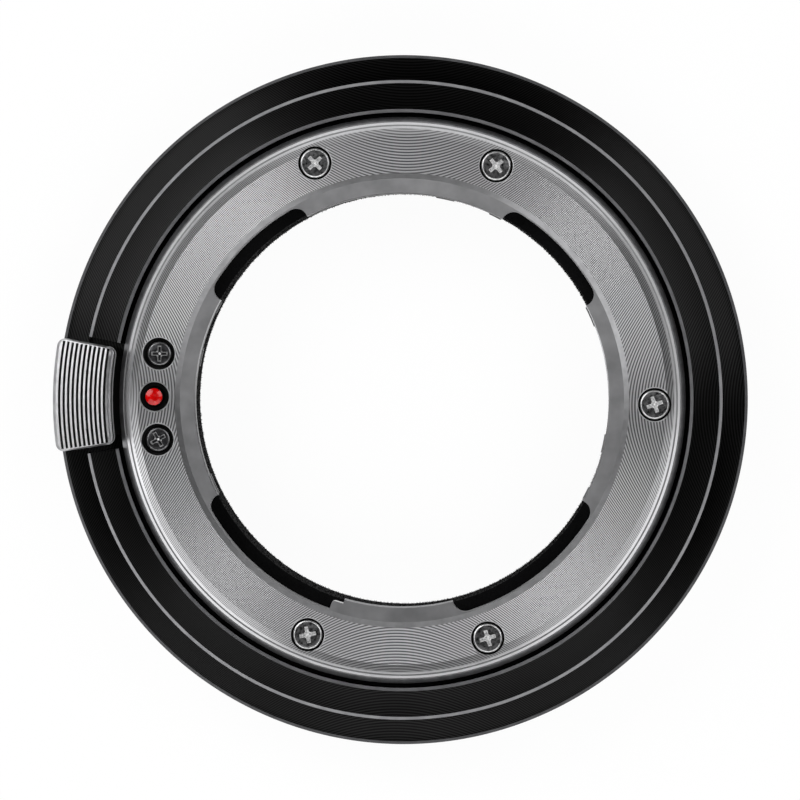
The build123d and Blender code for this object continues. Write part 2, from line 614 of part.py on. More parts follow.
def rear_bayonet():
    """Camera-side plate with a spigot, lugs and a relief at the spigot's root."""
    plate = turned(
        (BORE_R, SPIGOT_END_Z),
        (SPIGOT_R - SPIGOT_BEVEL, SPIGOT_END_Z),
        (SPIGOT_R, SPIGOT_END_Z + SPIGOT_BEVEL),
        (SPIGOT_R, RELIEF_DEPTH),
        (RELIEF_R, RELIEF_DEPTH),
        (RELIEF_R, 0),
        (REAR_PLATE_R, 0),
        (REAR_PLATE_R, REAR_PLATE_T),
        (BORE_R, REAR_PLATE_T),
    )
    for i in range(REAR_LUG_COUNT):
        middle = REAR_LUG_START + i * 360.0 / REAR_LUG_COUNT
        start = middle - REAR_LUG_ANGLE / 2
        lug = sector(SPIGOT_R - SPIGOT_BEVEL, REAR_LUG_R, start, start + REAR_LUG_ANGLE)
        lug = rounded_at(lug, REAR_LUG_R, REAR_LUG_CORNER_R)
        plate += slab(lug, -REAR_LUG_SEAT - REAR_LUG_T, -REAR_LUG_SEAT)
    for place in REAR_SCREW_PLACES:
        plate -= place * countersink(REAR_HEAD_R, REAR_HEAD_H, REAR_SHANK_R, REAR_SINK, THREAD_ROOM)
    camera_pin = Rot(0, 0, CAMERA_PIN_ANGLE) * Pos(REAR_PLATE_R - CAMERA_PIN_INSET, 0, 0)
    plate -= camera_pin * rod(CAMERA_PIN_R, -CUT, REAR_PLATE_T + CUT)
    return plate


def flange_screws():
    """Five bright screws that hold the lens flange."""
    return [
        place * cheese_screw(SCREW_HEAD_R, SCREW_SHANK_R, SCREW_TOP_Z, SCREW_SEAT_Z, SCREW_TIP_Z, turn)
        for place, turn in zip(FLANGE_SCREW_PLACES, FLANGE_SCREW_TURNS)
    ]


def guide_screws():
    """Two deeper screws that hold the guide sleeves."""
    return [
        place * cheese_screw(GUIDE_HEAD_R, GUIDE_SHANK_R, GUIDE_TOP_Z, GUIDE_SEAT_Z, GUIDE_TIP_Z, turn)
        for place, turn in zip(GUIDE_PLACES, GUIDE_TURNS)
    ]


def guide_sleeves():
    """Two sleeves on the guide screws, from the pocket's floor to the flange."""
    return [place * tube(SLEEVE_BORE_R, SLEEVE_R, POCKET_Z, BOSS_Z) for place in GUIDE_PLACES]


def grip_screws():
    """Two countersunk screws up through the arm into the grip."""
    return [
        place * countersunk_screw(GRIP_HEAD_R, GRIP_HEAD_H, GRIP_SHANK_R, ARM_Z, GRIP_TIP_Z)
        for place in GRIP_SCREW_PLACES
    ]


def rear_screws():
    """Six countersunk screws that hold the rear bayonet."""
    return [
        place * countersunk_screw(REAR_HEAD_R, REAR_HEAD_H, REAR_SHANK_R, REAR_SINK, REAR_TIP_Z)
        for place in REAR_SCREW_PLACES
    ]


PARTS = {
    "body": body(),
    "lens_flange": lens_flange(),
    "flange_screws": Compound(flange_screws()),
    "guide_screws": Compound(guide_screws()),
    "guide_sleeves": Compound(guide_sleeves()),
    "pin_bush": PIN_PLACE * tube(BUSH_BORE_R, BUSH_R, BOSS_Z, FLANGE_HEIGHT - BUSH_SINK),
    "lens_lock_pin": lens_lock_pin(),
    "pin_index_enamel": pin_index_enamel(),
    "release_arm": release_arm(),
    "release_grip": release_grip(),
    "grip_screws": Compound(grip_screws()),
    "lock_spring": lock_spring(),
    "leaf_spring_right": leaf_spring(0.0),
    "leaf_spring_top": leaf_spring(90.0),
    "leaf_spring_left": leaf_spring(180.0),
    "flocked_liner": flocked_liner(),
    "rear_bayonet": rear_bayonet(),
    "rear_screws": Compound(rear_screws()),
    "index_bead": index_bead(),
}

os.makedirs("parts", exist_ok=True)
for name, part in PARTS.items():
    export_step(part, os.path.join("parts", name + ".step"))
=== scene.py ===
import math
from collections import Counter

import bpy
from mathutils import Matrix, Vector


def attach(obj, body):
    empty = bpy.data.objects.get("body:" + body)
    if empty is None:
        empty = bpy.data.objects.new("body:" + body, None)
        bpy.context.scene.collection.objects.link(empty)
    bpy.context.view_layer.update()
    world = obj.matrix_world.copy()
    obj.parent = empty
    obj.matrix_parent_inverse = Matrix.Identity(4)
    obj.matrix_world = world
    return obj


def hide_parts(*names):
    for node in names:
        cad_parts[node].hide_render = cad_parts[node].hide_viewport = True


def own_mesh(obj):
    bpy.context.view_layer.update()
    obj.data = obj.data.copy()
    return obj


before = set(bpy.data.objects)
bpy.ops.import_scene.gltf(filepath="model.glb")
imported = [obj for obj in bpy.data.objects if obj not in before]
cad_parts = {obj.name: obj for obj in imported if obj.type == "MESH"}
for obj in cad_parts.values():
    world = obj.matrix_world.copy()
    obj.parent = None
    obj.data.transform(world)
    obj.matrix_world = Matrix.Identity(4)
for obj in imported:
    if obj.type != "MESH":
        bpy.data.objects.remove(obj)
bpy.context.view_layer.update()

# Looks of a lens mount adapter: a black turned ring, a plated bayonet plate with its screws, the lock pin and
# the ribbed release grip, a flocked throat and the camera-side bayonet. Shapes are drawn in millimetres with
# the optical axis on Z, as outlines of (radius, height), and each finished piece is brought to metres.

MM = 0.001
RING_STEPS = 288            # faces round a full turn
HOLE_STEPS = 48             # faces round a screw or a hole
MERGE_AT = 0.0005           # points closer than this become one
LOCK_AT = 180.0             # side of the ring with the lock, in degrees

# Radii shared by several pieces
THROAT_R = 20.4             # inner ends of the tabs
BORE_R = 21.28
GAP_R = 21.8
CHANNEL_R = 22.2            # room for the leaf springs
SEAT_IN_R = 22.4
PIN_CIRCLE_R = 24.4
SCREW_CIRCLE_R = 24.91
SEAT_OUT_R = 26.06
FLANGE_R = 27.46
BOSS_IN_R = 27.5            # thin rim that stands round the flange
BOSS_R = 28.01
GROOVE_R = 28.46
TIER_IN_R = 28.76
REAR_SCREW_CIRCLE_R = 29.5
STEM_R = 30.6               # stem between the arm and the grip
RECESS_R = 31.05            # recess for the camera-side plate
TIER_OUT_R = 31.38
STEP_R = 31.68
RIM_R = 33.98               # where the rim's bevel starts
BODY_R = 34.28

# Heights shared by several pieces
SPIGOT_END_Z = -5.4
PLATE_TOP_Z = 1.2
DOT_Z = 1.675
POCKET_Z = 2.6
SHELF_Z = 2.7               # shelf under the liner's lip
LIP_Z = 3.2
NOTCH_Z = 3.7
GROOVE_Z = 3.8
BOSS_Z = 5.4                # floor that carries the flange
TAB_Z = 7.4
SEAT_Z = 7.8

# Angle of each screw round the ring and turn of its cross recess, in degrees
FLANGE_SCREWS = {0.0: 20.0, 69.0: 40.0, 111.0: 45.0, 249.0: 12.0, 290.8: 18.0}
GUIDE_SCREWS = {170.0: 0.0, 190.0: 30.0}
REAR_SCREWS = {30.0: 10.0, 90.0: 52.0, 150.0: 31.0, 210.0: 75.0, 270.0: 22.0, 330.0: 64.0}


def clear_selection():
    if bpy.context.object and bpy.context.object.mode != "OBJECT":
        bpy.ops.object.mode_set(mode="OBJECT")
    bpy.ops.object.select_all(action="DESELECT")


def make_active(piece):
    clear_selection()
    piece.select_set(True)
    bpy.context.view_layer.objects.active = piece


def named(name):
    piece = bpy.context.object
    piece.name = name
    piece.data.name = name
    return piece


def radius_of(co):
    return math.hypot(co.x, co.y)


def angle_of(co):
    return math.degrees(math.atan2(co.y, co.x)) % 360


def polar(radius, angle, z=0.0):
    a = math.radians(angle)
    return (radius * math.cos(a), radius * math.sin(a), z)


def upright(normal):
    return abs(normal.z) < 0.3


def sloped(normal):
    return 0.3 < normal.z < 0.95


def rectangle(inner, outer, low, high):
    return [(inner, low), (outer, low), (outer, high), (inner, high)]


def pick(piece, kind, test):
    """In edit mode, select only the edges or faces that pass the test."""
    make_active(piece)
    bpy.ops.object.mode_set(mode="EDIT")
    bpy.ops.mesh.select_mode(type=kind)
    bpy.ops.mesh.select_all(action="DESELECT")
    bpy.ops.object.mode_set(mode="OBJECT")
    mesh = piece.data
    if kind == "EDGE":
        for e in mesh.edges:
            e.select = test(*(mesh.vertices[i].co for i in e.vertices))
    if kind == "FACE":
        for f in mesh.polygons:
            f.select = test(f.center, f.normal)
    bpy.ops.object.mode_set(mode="EDIT")


def draw_outline(name, points):
    """Closed wire outline in the XZ plane, drawn from one vertex to the next."""
    clear_selection()
    bpy.ops.mesh.primitive_plane_add(size=1.0)
    piece = named(name)
    bpy.ops.object.mode_set(mode="EDIT")
    bpy.ops.mesh.select_mode(type="VERT")
    bpy.ops.mesh.merge(type="CENTER")
    bpy.ops.transform.translate(value=(points[0][0], 0, points[0][1]))
    for (r0, z0), (r1, z1) in zip(points, points[1:]):
        bpy.ops.mesh.extrude_region_move(TRANSFORM_OT_translate={"value": (r1 - r0, 0, z1 - z0)})
    bpy.ops.object.mode_set(mode="OBJECT")
    edges_at = Counter(i for e in piece.data.edges for i in e.vertices)
    for v in piece.data.vertices:
        v.select = edges_at[v.index] == 1
    bpy.ops.object.mode_set(mode="EDIT")
    bpy.ops.mesh.edge_face_add()
    return piece


def tidy_mesh():
    """Close seams and point all faces outwards."""
    bpy.ops.mesh.select_all(action="SELECT")
    bpy.ops.mesh.remove_doubles(threshold=MERGE_AT)
    bpy.ops.mesh.normals_make_consistent(inside=False)
    bpy.ops.object.mode_set(mode="OBJECT")


def turn_ring(name, points, steps=RING_STEPS):
    """Ring turned from its outline about the optical axis."""
    piece = draw_outline(name, points)
    bpy.ops.mesh.select_all(action="SELECT")
    bpy.ops.mesh.spin(steps=steps, angle=math.tau, center=(0, 0, 0), axis=(0, 0, 1))
    tidy_mesh()
    return piece


def turn_sector(name, points, start, end, steps):
    """Part of a ring between two angles, closed at both ends."""
    piece = draw_outline(name, points)
    bpy.ops.mesh.select_all(action="SELECT")
    bpy.ops.mesh.spin(steps=steps, angle=math.radians(end - start), center=(0, 0, 0), axis=(0, 0, 1))
    bpy.ops.object.mode_set(mode="OBJECT")
    lowest = min(math.atan2(v.co.y, v.co.x) for v in piece.data.vertices)
    place(piece, turn=start - math.degrees(lowest))
    bpy.ops.object.mode_set(mode="EDIT")
    bpy.ops.mesh.select_all(action="SELECT")
    bpy.ops.mesh.remove_doubles(threshold=MERGE_AT)
    bpy.ops.mesh.select_mode(type="EDGE")
    bpy.ops.mesh.select_all(action="DESELECT")
    bpy.ops.mesh.select_non_manifold(extend=False, use_wire=False, use_multi_face=False,
                                     use_non_contiguous=False)
    bpy.ops.mesh.edge_face_add()
    tidy_mesh()
    return piece


def round_corners(piece, radius, angles, size):
    """Round a sector's upright edges at one distance from the axis."""
    def corner(a, b):
        off_radius = abs(radius_of(a) - radius) + abs(radius_of(b) - radius)
        off_angle = min(abs(angle_of(a) - angle) for angle in angles)
        return abs(a.z - b.z) > 0.2 and off_radius < 0.02 and off_angle < 0.1

    pick(piece, "EDGE", corner)
    bpy.ops.mesh.bevel(offset=size, segments=8, affect="EDGES")
    tidy_mesh()


def place(piece, at=(0, 0, 0), turn=0.0, tip=0.0):
    """Tip a piece about X, turn it about Z, then move it, with the place kept in its mesh."""
    make_active(piece)
    piece.rotation_euler = (math.radians(tip), 0, math.radians(turn))
    piece.location = at
    bpy.ops.object.transform_apply(location=True, rotation=True, scale=True)
    return piece


def box(name, size, middle):
    clear_selection()
    bpy.ops.mesh.primitive_cube_add(size=1.0)
    piece = named(name)
    piece.scale = size
    piece.location = middle
    bpy.ops.object.transform_apply(location=True, rotation=True, scale=True)
    return piece


def lock_box(name, inner, outer, half_width, low, high):
    """Box along the lock's radius."""
    piece = box(name, (outer - inner, 2 * half_width, high - low), ((inner + outer) / 2, 0, (low + high) / 2))
    return place(piece, turn=LOCK_AT)


def cut_away(piece, *cutters, keep="DIFFERENCE"):
    """Cut a piece with other shapes, or unite it with them. They are used up."""
    for cutter in cutters:
        make_active(piece)
        cut = piece.modifiers.new("cut", "BOOLEAN")
        cut.operation = keep
        cut.solver = "EXACT"
        cut.object = cutter
        bpy.ops.object.modifier_apply(modifier=cut.name)
        bpy.data.objects.remove(cutter)
    return piece


def drill(piece, angles, circle, outline):
    """Cut the same stepped hole at several angles round a circle."""
    for angle in angles:
        hole = turn_ring("hole", outline, HOLE_STEPS)
        cut_away(piece, place(hole, polar(circle, angle)))


def join(pieces, name):
    make_active(pieces[0])
    for piece in pieces[1:]:
        piece.select_set(True)
    bpy.ops.object.join()
    return named(name)


def copy_of(piece):
    twin = piece.copy()
    twin.data = piece.data.copy()
    bpy.context.scene.collection.objects.link(twin)
    return twin


def paint(piece, *coats):
    """Give faces their finishes. The first coat covers all, each later one the faces that pass its test."""
    piece.data.materials.clear()
    piece.data.materials.append(coats[0])
    for i, (material, test) in enumerate(coats[1:], 1):
        piece.data.materials.append(material)
        pick(piece, "FACE", test)
        piece.active_material_index = i
        bpy.ops.object.material_slot_assign()
        bpy.ops.object.mode_set(mode="OBJECT")


def hand_over(piece, body, slot, *nodes, sharp=30.0):
    """Bring a finished piece to metres, smooth its round faces and let it ride in place of its CAD nodes."""
    make_active(piece)
    bpy.ops.object.shade_smooth_by_angle(angle=math.radians(sharp))
    piece.scale = (MM, MM, MM)
    bpy.ops.object.transform_apply(location=True, rotation=True, scale=True)
    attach(piece, body)
    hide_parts(*nodes)


# Finishes

RING_PITCH = 0.1485         # real turning marks
ROW_PITCH = 0.0986          # rows they beat with
GRID_PITCH = 0.24           # fine grid seen at the diagonals
BAND_WIDTH = 0.8            # bands of deeper and shallower marks


def linear(hex_colour):
    """sRGB hex to the linear colour that shaders use."""
    parts = [int(hex_colour[i:i + 2], 16) / 255 for i in (1, 3, 5)]
    return tuple(c / 12.92 if c <= 0.04045 else ((c + 0.055) / 1.055) ** 2.4 for c in parts) + (1.0,)


def add_node(tree, kind, inputs=None, **settings):
    """Add a node with its settings. An input is a value, or a socket to link from."""
    node = tree.nodes.new(kind)
    for key, value in settings.items():
        setattr(node, key, value)
    for key, value in (inputs or {}).items():
        if isinstance(value, bpy.types.NodeSocket):
            tree.links.new(value, node.inputs[key])
        else:
            node.inputs[key].default_value = value
    return node


def new_finish(name, **sockets):
    """New material, its shader set to constant values."""
    material = bpy.data.materials.new(name)
    material.use_nodes = True
    tree = material.node_tree
    shader = tree.nodes["Principled BSDF"]
    for key, value in sockets.items():
        shader.inputs[key.replace("_", " ").title().replace("Ior", "IOR")].default_value = value
    return material, tree, shader


def coat(tree, shader, pattern, low, high, relief):
    """Two tones and a little relief that follow a pattern from 0 to 1."""
    tone = add_node(tree, "ShaderNodeMix", {0: pattern, 6: linear(low), 7: linear(high)}, data_type="RGBA")
    tree.links.new(tone.outputs[2], shader.inputs["Base Color"])
    bump = add_node(tree, "ShaderNodeBump", {"Height": pattern, "Strength": 0.5, "Distance": relief * MM})
    tree.links.new(bump.outputs[0], shader.inputs["Normal"])


def clouded_finish(name, low, high, grain, relief, stretch=(1, 1, 1), **sockets):
    """Finish with soft uneven patches about a grain across, in millimetres."""
    material, tree, shader = new_finish(name, **sockets)
    where = add_node(tree, "ShaderNodeTexCoord").outputs["Object"]
    spread = add_node(tree, "ShaderNodeMapping", {"Vector": where, "Scale": stretch}).outputs[0]
    noise = add_node(tree, "ShaderNodeTexNoise",
                     {"Vector": spread, "Scale": 1 / (grain * MM), "Detail": 3.0}).outputs[0]
    patches = add_node(tree, "ShaderNodeMapRange", {"Value": noise, "From Min": 0.3, "From Max": 0.7})
    coat(tree, shader, patches.outputs[0], low, high, relief)
    return material


def turned_finish(name, low, high, relief, **sockets):
    """Turned metal: a gloss drawn out across its rings, and stripes of two tones with a little relief.

    The rings are 0.15 mm apart, too fine to show. What the eye sees in the photograph is their slow beat
    with the rows and columns of the picture, so that beat is drawn: stripes 0.3 mm apart on the four sides,
    finer between them, where a grid takes over.
    """
    material, tree, shader = new_finish(name, **sockets)
    where = add_node(tree, "ShaderNodeTexCoord").outputs["Object"]
    flat = add_node(tree, "ShaderNodeVectorMath", {0: where, 1: (1, 1, 0)}, operation="MULTIPLY").outputs[0]
    radius = add_node(tree, "ShaderNodeVectorMath", {0: flat}, operation="LENGTH").outputs["Value"]
    sides = add_node(tree, "ShaderNodeVectorMath", {0: flat}, operation="ABSOLUTE").outputs[0]
    x_side, y_side = add_node(tree, "ShaderNodeSeparateXYZ", {0: sides}).outputs[:2]
    turns = math.tau / (RING_PITCH * MM)
    rings = add_node(tree, "ShaderNodeMath", {0: radius, 1: turns}, operation="MULTIPLY").outputs[0]
    waves = []
    for side in (x_side, y_side):
        steps = math.tau / (ROW_PITCH * MM)
        rows = add_node(tree, "ShaderNodeMath", {0: side, 1: steps}, operation="MULTIPLY").outputs[0]
        phase = add_node(tree, "ShaderNodeMath", {0: rings, 1: rows}, operation="SUBTRACT").outputs[0]
        waves.append(add_node(tree, "ShaderNodeMath", {0: phase}, operation="SINE").outputs[0])
    # The lead is 1 on the X sides, -1 on the Y sides and 0 at the diagonals
    lead = add_node(tree, "ShaderNodeMath", {0: x_side, 1: y_side}, operation="SUBTRACT").outputs[0]
    lead = add_node(tree, "ShaderNodeMath", {0: lead, 1: radius}, operation="DIVIDE").outputs[0]
    blend = add_node(tree, "ShaderNodeMapRange", {"Value": lead, "From Min": -0.2, "From Max": 0.2})
    wave = add_node(tree, "ShaderNodeMix", {0: blend.outputs[0], 2: waves[1], 3: waves[0]}).outputs[0]
    lines = math.tau / (GRID_PITCH * MM)
    grid = add_node(tree, "ShaderNodeVectorMath", {0: flat, "Scale": lines}, operation="SCALE").outputs[0]
    grid = add_node(tree, "ShaderNodeVectorMath", {0: grid}, operation="SINE").outputs[0]
    x_grid, y_grid = add_node(tree, "ShaderNodeSeparateXYZ", {0: grid}).outputs[:2]
    grid = add_node(tree, "ShaderNodeMath", {0: x_grid, 1: y_grid}, operation="MULTIPLY").outputs[0]
    meet = add_node(tree, "ShaderNodeMath", {0: lead}, operation="ABSOLUTE").outputs[0]
    meet = add_node(tree, "ShaderNodeMapRange", {"Value": meet, "From Min": 0.15, "From Max": 0.5,
                                                 "To Min": 1.4, "To Max": 0.0}).outputs[0]
    wave = add_node(tree, "ShaderNodeMath", {0: grid, 1: meet, 2: wave}, operation="MULTIPLY_ADD").outputs[0]
    bands = add_node(tree, "ShaderNodeTexNoise", {"W": radius, "Scale": 1 / (BAND_WIDTH * MM), "Detail": 2.0},
                     noise_dimensions="1D").outputs[0]
    depth = add_node(tree, "ShaderNodeMapRange", {"Value": bands, "From Min": 0.3, "From Max": 0.7,
                                                  "To Min": 0.38, "To Max": 0.5}).outputs[0]
    marks = add_node(tree, "ShaderNodeMath", {0: wave, 1: depth, 2: 0.5}, operation="MULTIPLY_ADD").outputs[0]
    coat(tree, shader, marks, low, high, relief)
    tree.links.new(flat, shader.inputs["Tangent"])
    return material


# Aluminium, turned and black anodised: near black, with fans of dull light that run out from the axis
BLACK_ANODISED = turned_finish("black_anodised_aluminium", "#080808", "#262626", 0.002,
                               metallic=1.0, roughness=0.33, anisotropic=0.95)
# Its upright walls, with faint level streaks
BLACK_WALL = clouded_finish("black_anodised_wall", "#0a0a0a", "#202020", 0.25, 0.002, (0.04, 0.04, 1),
                            metallic=1.0, roughness=0.36)
# Brass, turned and satin chrome plated: grey and silver stripes with fans of light
TURNED_CHROME = turned_finish("turned_chrome_plate", "#3c3c3e", "#e2e2e4", 0.004,
                              metallic=1.0, roughness=0.36, anisotropic=0.95)
# The same plating on smooth milled faces, pale grey with soft patches
SATIN_CHROME = clouded_finish("satin_chrome_plate", "#aaaaac", "#c6c6c8", 2.5, 0.001,
                              metallic=1.0, roughness=0.28)
# Cut bevels of the plate, almost white
BRIGHT_EDGE = clouded_finish("bright_cut_chrome", "#e2e2e4", "#eeeef0", 1.5, 0.001,
                             metallic=1.0, roughness=0.3)
# Wider slope outside the seat, with fainter stripes
SLOPE_CHROME = turned_finish("turned_chrome_slope", "#727274", "#e8e8ea", 0.002,
                             metallic=1.0, roughness=0.32)
# Slope between the seat and the tabs, smooth and greyer than the bevels
STEP_CHROME = clouded_finish("chrome_step", "#b2b2b4", "#c6c6c8", 1.0, 0.001,
                             metallic=1.0, roughness=0.32)
# Chamfers of its holes, a thin ring of painted highlight, half matte so that it shows light from every side
HOLE_EDGE_HIGHLIGHT = clouded_finish("painted_highlight_hole_edge", "#a8a8aa", "#d0d0d2", 0.8, 0.001,
                           metallic=0.4, roughness=0.5)
# Inner walls of the tabs, the same plating painted dark grey as shade
SHADED_CHROME_WALL = clouded_finish("shaded_chrome_wall", "#4a4a4c", "#646466", 1.0, 0.002,
                               metallic=1.0, roughness=0.4)
# Bevels cut through the black coat down to bare aluminium, a thin grey line
BARE_EDGE = clouded_finish("bare_aluminium_edge", "#838386", "#9a9a9c", 1.2, 0.001,
                           metallic=0.4, roughness=0.5)
# The same cut beside the groove, painted darker
DARKER_EDGE = clouded_finish("darker_aluminium_edge", "#626264", "#767678", 1.2, 0.001,
                           metallic=0.4, roughness=0.5)
# And at the rim, darker still
RIM_EDGE = clouded_finish("rim_aluminium_edge", "#444446", "#565658", 1.2, 0.001,
                          metallic=0.4, roughness=0.5)
# Bevels of the boss and the grip, rubbed to a dull metal and painted lighter as highlight
WORN_EDGE_AND_HIGHLIGHT = clouded_finish("worn_edge_and_highlight", "#929294", "#aeaeb0", 0.9, 0.001,
                           metallic=1.0, roughness=0.34)
# Satin plated crests of the grip, white in the light
GRIP_CHROME = clouded_finish("ribbed_chrome_plate", "#b6b6b8", "#cacacc", 0.6, 0.002,
                             metallic=1.0, roughness=0.4)
# Painted shade, near black: the grip's grooves and inner wall, and the walls and floors of the plate's
# counterbores
SHADE_BLACK = clouded_finish("painted_shade_black", "#050505", "#121212", 0.3, 0.004,
                              roughness=0.6, specular_ior_level=0.2)
# Nickel on steel screws, bright at the rim
BRIGHT_NICKEL = clouded_finish("bright_nickel_screw", "#a6a6a6", "#e0e0e0", 0.35, 0.004,
                               metallic=1.0, roughness=0.3)
# Their flat faces, smudged by the driver
SMUDGED_NICKEL = clouded_finish("smudged_nickel_face", "#141415", "#7e7e7f", 0.28, 0.004,
                                metallic=1.0, roughness=0.3)
# Walls of their recess, painted light as highlight, half matte so that they show light from every side
RECESS_HIGHLIGHT_WHITE = clouded_finish("nickel_recess_painted_highlight", "#a4a4a4", "#ffffff", 0.2, 0.01,
                               metallic=0.4, roughness=0.4)
# Darker nickel of the two guide screws
DARK_NICKEL = clouded_finish("dark_nickel_screw", "#58585a", "#8c8c8d", 0.35, 0.004,
                             metallic=1.0, roughness=0.3)
# Their flat faces, almost black. The same colour is painted as shade on the floors of their recesses
DARK_FACE_AND_SHADE = clouded_finish("dark_nickel_face_and_shade", "#202021", "#4c4c4e", 0.3, 0.004,
                           metallic=1.0, roughness=0.3)
# Nickel in a recess, painted light grey as highlight, half matte so that it shows light from every side
RECESS_HIGHLIGHT_GREY = clouded_finish("nickel_recess_painted_grey_highlight", "#8e8e8f", "#e0e0e1", 0.2, 0.01,
                               metallic=0.4, roughness=0.4)
# Blackened steel with a faint sheen
BLACK_STEEL = clouded_finish("blackened_steel", "#020202", "#080808", 0.8, 0.003,
                             roughness=0.4, specular_ior_level=0.04)
# Spring steel, mid grey
SPRING_STEEL = clouded_finish("spring_steel", "#8a8a8b", "#a8a8a9", 0.4, 0.002,
                              metallic=1.0, roughness=0.3)
# Glossy red enamel, a shade darker where it is thick
RED_ENAMEL = clouded_finish("red_enamel", "#a00000", "#c80404", 0.7, 0.002,
                            roughness=0.16, specular_ior_level=0.35)
# Black flock, which swallows the light
BLACK_FLOCK = clouded_finish("black_flock", "#040404", "#101011", 0.12, 0.02,
                             roughness=0.95, specular_ior_level=0.1)


# Black ring, with a notch, a pocket and a slot for the release and a hole for the red dot
SLACK = 0.01                # keeps a cutter's face off the face beside it
NOTCH_HALF = 10.58          # in degrees
body = turn_ring("body_ring", [
    (RIM_R, 3.3), (BODY_R, 3.0), (BODY_R, 0.35), (34.08, 0.15), (RECESS_R, 0.15), (RECESS_R, PLATE_TOP_Z),
    (BORE_R, PLATE_TOP_Z), (BORE_R, SHELF_Z), (CHANNEL_R, SHELF_Z), (CHANNEL_R, BOSS_Z),
    (BOSS_IN_R, BOSS_Z), (BOSS_IN_R, 6.35), (27.6, 6.35), (BOSS_R, 5.94), (BOSS_R, GROOVE_Z),
    (GROOVE_R, GROOVE_Z), (GROOVE_R, 6.15), (TIER_IN_R, 6.45), (TIER_OUT_R, 5.5), (STEP_R, 5.2),
    (STEP_R, 4.2), (32.255, 4.012), (32.83, 3.8), (33.405, 3.562),
])
notch = turn_sector("notch", rectangle(BOSS_R + SLACK, STEP_R + SLACK, NOTCH_Z, 7.4),
                    LOCK_AT - NOTCH_HALF, LOCK_AT + NOTCH_HALF, 24)
dot_hole = turn_ring("dot_hole", [(0, -0.5), (0.51, -0.5), (0.51, -0.06), (0.6, 0.03), (0.6, 0.5), (0, 0.5)],
                     HOLE_STEPS)
place(dot_hole, (0, BODY_R, DOT_Z), tip=-90)
cut_away(body, notch, dot_hole,
         lock_box("arm_pocket", 22.81, 26.16, 6.09, POCKET_Z, 6.4),
         lock_box("stem_slot", 25.0, STEM_R, 4.05, POCKET_Z, BOSS_Z + SLACK))
paint(body, BLACK_ANODISED,
      (BLACK_WALL, lambda c, n: upright(n)),
      (BARE_EDGE, lambda c, n: sloped(n) and TIER_OUT_R < radius_of(c) < STEP_R),
      (DARKER_EDGE, lambda c, n: sloped(n) and GROOVE_R < radius_of(c) < TIER_IN_R),
      (RIM_EDGE, lambda c, n: sloped(n) and radius_of(c) > RIM_R + 0.02),
      # worn metal on the boss bevel, painted lighter as highlight
      (WORN_EDGE_AND_HIGHLIGHT, lambda c, n: n.z > 0.3 and BOSS_IN_R < radius_of(c) < BOSS_R and c.z > 5.95))
hand_over(body, "adapter", "black_anodised", "body")

# Lens flange: a turned plate, cut by four gaps with round corners
CUT_LOW_Z, CUT_HIGH_Z = 5.0, 8.4    # cutters reach past the plate on both sides
CUT_IN_R = 18.0
CORNER_R = 1.2
STOP_R = 20.85
STOP_START = 251.75
GAPS = ((28.1, 61.9), (118.1, 151.9), (208.1, 254.85), (285.15, 331.9))
STOP_GAP = GAPS[2]          # the one that ends at the rotation stop
flange = turn_ring("lens_flange_plate", [
    (23.55, BOSS_Z), (FLANGE_R, BOSS_Z), (FLANGE_R, 6.75), (27.21, 7.0), (27.06, 7.0), (26.81, 7.25),
    (SEAT_OUT_R, SEAT_Z), (SEAT_IN_R, SEAT_Z), (21.9, TAB_Z), (20.47, TAB_Z), (THROAT_R, 7.33),
    (THROAT_R, 5.65), (23.55, 5.65),
])
lean = math.degrees(math.asin(CORNER_R / (GAP_R - CORNER_R)))
straight = math.sqrt((GAP_R - CORNER_R)**2 - CORNER_R**2)
for start, end in GAPS:
    gap = turn_sector("gap", rectangle(CUT_IN_R, GAP_R, CUT_LOW_Z, CUT_HIGH_Z), start + lean, end - lean, 32)
    ends = turn_sector("ends", rectangle(18.1, straight, 4.9, 8.5), start, end, 32)
    corners = [place(turn_ring("corner", rectangle(0, CORNER_R, 4.95, 8.45), HOLE_STEPS),
                     polar(GAP_R - CORNER_R, angle)) for angle in (start + lean, end - lean)]
    cut_away(gap, ends, *corners, keep="UNION")
    if (start, end) == STOP_GAP:
        stop = turn_sector("stop", rectangle(STOP_R, 23.0, 4.0, 9.0), STOP_START, 258.0, 6)
        round_corners(stop, STOP_R, (STOP_START,), 0.35)
        cut_away(gap, stop)
    cut_away(flange, gap)
drill(flange, FLANGE_SCREWS, SCREW_CIRCLE_R, [
    (0, CUT_LOW_Z), (0.9, CUT_LOW_Z), (0.9, 6.88), (1.65, 6.88), (1.65, 7.71), (1.75, 7.81),
    (1.75, CUT_HIGH_Z), (0, CUT_HIGH_Z),
])
drill(flange, GUIDE_SCREWS, PIN_CIRCLE_R, [
    (0, CUT_LOW_Z), (0.65, CUT_LOW_Z), (0.65, 6.45), (1.58, 6.45), (1.58, 7.71), (1.68, 7.81),
    (1.68, CUT_HIGH_Z), (0, CUT_HIGH_Z),
])
drill(flange, (LOCK_AT,), PIN_CIRCLE_R, [
    (0, CUT_LOW_Z), (1.43, CUT_LOW_Z), (1.43, 7.67), (1.57, 7.81), (1.57, CUT_HIGH_Z), (0, CUT_HIGH_Z),
])


def on_slope(c):
    return 7.26 < c.z < SEAT_Z - 0.1 and SEAT_OUT_R < radius_of(c) < 26.8


def in_hole(c, n):
    return upright(n) and c.z < 7.76 and 22.5 < radius_of(c) < FLANGE_R - 0.1


